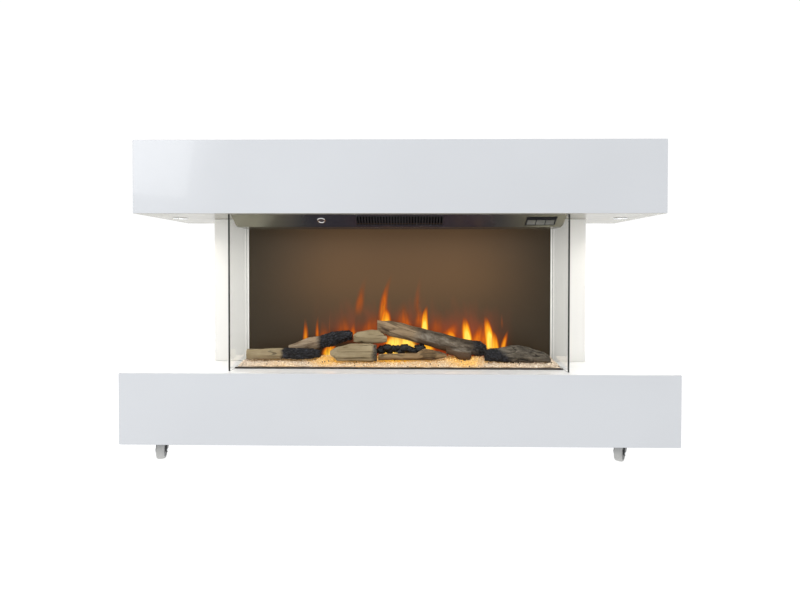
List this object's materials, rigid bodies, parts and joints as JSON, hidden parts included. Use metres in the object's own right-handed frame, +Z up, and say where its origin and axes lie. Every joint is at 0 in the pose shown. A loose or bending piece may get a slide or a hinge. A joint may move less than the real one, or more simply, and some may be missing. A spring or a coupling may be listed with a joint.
{
  "type": "electric fireplace",
  "caption": "Free-standing electric fireplace suite: white mantel and base boxes, column wings, log fire behind side glasses, heater grille, rockers, castors.",
  "frame": {"origin": "on the floor, under the middle of the base", "axes": "+X to the viewer's right, +Y back towards the wall, +Z up; the front faces -Y"},
  "size_m": [1.22, 0.285, 0.715],
  "materials": {
    "white_lacquer": "high-gloss white lacquer on fibreboard",
    "side_glass": "clear toughened glass with polished edges",
    "smoked_screen": "smoked acrylic flame screen, glossy, with the flame image on it",
    "galvanised_steel": "zinc-coated sheet steel",
    "dark_fascia": "polished dark metal",
    "black_plastic": "moulded black plastic",
    "rocker_plastic": "semi-gloss dark grey plastic",
    "chrome_ring": "polished chrome plate",
    "tray_metal": "satin grey painted steel rim",
    "ember_crystal": "frosted white and amber glass crystals, lit from below",
    "log_tan": "painted ceramic fibre, split pale wood",
    "log_grey": "painted ceramic fibre, grey grained wood",
    "log_brown": "painted ceramic fibre, brown bark with charred parts",
    "log_charred": "painted ceramic fibre, charred black with blue-grey ash",
    "rotor_foil": "bright rolled aluminium vanes",
    "circuit_board": "green circuit board with parts",
    "heater_ribbon": "resistance ribbon, heat-tinted",
    "castor_black_metal": "black painted pressed steel",
    "castor_wheel_grey": "light grey moulded wheel"
  },
  "bodies": {
    "root": {"base_top_panel": "white_lacquer", "base_bottom_panel": "white_lacquer", "base_front_panel": "white_lacquer", "base_back_panel": "white_lacquer", "base_left_end": "white_lacquer", "base_right_end": "white_lacquer", "mantel_top_panel": "white_lacquer", "mantel_bottom_panel": "white_lacquer", "mantel_front_panel": "white_lacquer", "mantel_back_panel": "white_lacquer", "mantel_left_end": "white_lacquer", "mantel_right_end": "white_lacquer", "column_left_wing": "white_lacquer", "column_right_wing": "white_lacquer", "left_side_glass": "side_glass", "right_side_glass": "side_glass", "flame_screen": "smoked_screen", "fire_case": "galvanised_steel", "rear_cover": "galvanised_steel", "power_inlet": "black_plastic", "fascia_panel": "dark_fascia", "outlet_grille": "black_plastic", "ir_receiver": "chrome_ring", "switch_bezel": "black_plastic", "fuel_tray": "tray_metal", "ember_bed": "ember_crystal", "left_log": "log_tan", "mid_log": "log_tan", "front_log": "log_tan", "rear_left_log": "log_brown", "rear_long_log": "log_brown", "right_log": "log_brown", "main_log": "log_grey", "coal_centre": "log_charred", "rotor_motor": "black_plastic", "flame_lamp_board": "circuit_board", "ember_lamp_board": "circuit_board", "blower_housing": "galvanised_steel", "blower_motor": "black_plastic", "heating_element": "heater_ribbon", "control_board": "circuit_board", "downlight_left": "chrome_ring", "downlight_right": "chrome_ring", "castor_plate_front_left": "castor_black_metal", "castor_plate_front_right": "castor_black_metal", "castor_plate_rear_left": "castor_black_metal", "castor_plate_rear_right": "castor_black_metal"},
    "rocker_power": {"rocker_power": "rocker_plastic"},
    "rocker_low_heat": {"rocker_low_heat": "rocker_plastic"},
    "rocker_high_heat": {"rocker_high_heat": "rocker_plastic"},
    "flame_rotor": {"flame_rotor": "rotor_foil"},
    "blower_impeller": {"blower_impeller": "black_plastic"},
    "fork_front_left": {"castor_fork_front_left": "castor_black_metal"},
    "wheel_front_left": {"castor_wheel_front_left": "castor_wheel_grey"},
    "fork_front_right": {"castor_fork_front_right": "castor_black_metal"},
    "wheel_front_right": {"castor_wheel_front_right": "castor_wheel_grey"},
    "fork_rear_left": {"castor_fork_rear_left": "castor_black_metal"},
    "wheel_rear_left": {"castor_wheel_rear_left": "castor_wheel_grey"},
    "fork_rear_right": {"castor_fork_rear_right": "castor_black_metal"},
    "wheel_rear_right": {"castor_wheel_rear_right": "castor_wheel_grey"}
  },
  "joints": [
    {"name": "rocker_power_tilt", "type": "hinge", "parent": "root", "child": "rocker_power", "pos_m": [0.2982, -0.08954, 0.54249], "axis": [1, 0, 0], "range_deg": [0, 18]},
    {"name": "rocker_low_heat_tilt", "type": "hinge", "parent": "root", "child": "rocker_low_heat", "pos_m": [0.319, -0.08954, 0.54249], "axis": [1, 0, 0], "range_deg": [0, 18]},
    {"name": "rocker_high_heat_tilt", "type": "hinge", "parent": "root", "child": "rocker_high_heat", "pos_m": [0.3398, -0.08954, 0.54249], "axis": [1, 0, 0], "range_deg": [0, 18]},
    {"name": "flame_rotor_spin", "type": "hinge", "parent": "root", "child": "flame_rotor", "pos_m": [0, 0.062, 0.272], "axis": [1, 0, 0], "continuous": true},
    {"name": "blower_spin", "type": "hinge", "parent": "root", "child": "blower_impeller", "pos_m": [0, -0.072, 0.618], "axis": [1, 0, 0], "continuous": true},
    {"name": "swivel_front_left", "type": "hinge", "parent": "root", "child": "fork_front_left", "pos_m": [-0.545, -0.072, 0.04], "axis": [0, 0, 1], "continuous": true},
    {"name": "roll_front_left", "type": "hinge", "parent": "fork_front_left", "child": "wheel_front_left", "pos_m": [-0.54095, -0.08954, 0.02], "axis": [0.9744, 0.225, 0], "continuous": true},
    {"name": "swivel_front_right", "type": "hinge", "parent": "root", "child": "fork_front_right", "pos_m": [0.512, -0.072, 0.04], "axis": [0, 0, 1], "continuous": true},
    {"name": "roll_front_right", "type": "hinge", "parent": "fork_front_right", "child": "wheel_front_right", "pos_m": [0.50142, -0.08656, 0.02], "axis": [0.809, -0.5878, 0], "continuous": true},
    {"name": "swivel_rear_left", "type": "hinge", "parent": "root", "child": "fork_rear_left", "pos_m": [-0.545, 0.096, 0.04], "axis": [0, 0, 1], "continuous": true},
    {"name": "roll_rear_left", "type": "hinge", "parent": "fork_rear_left", "child": "wheel_rear_left", "pos_m": [-0.53655, 0.08011, 0.02], "axis": [0.8829, 0.4695, 0], "continuous": true},
    {"name": "swivel_rear_right", "type": "hinge", "parent": "root", "child": "fork_rear_right", "pos_m": [0.512, 0.096, 0.04], "axis": [0, 0, 1], "continuous": true},
    {"name": "roll_rear_right", "type": "hinge", "parent": "fork_rear_right", "child": "wheel_rear_right", "pos_m": [0.50765, 0.07853, 0.02], "axis": [0.9703, -0.2419, 0], "continuous": true}
  ]
}
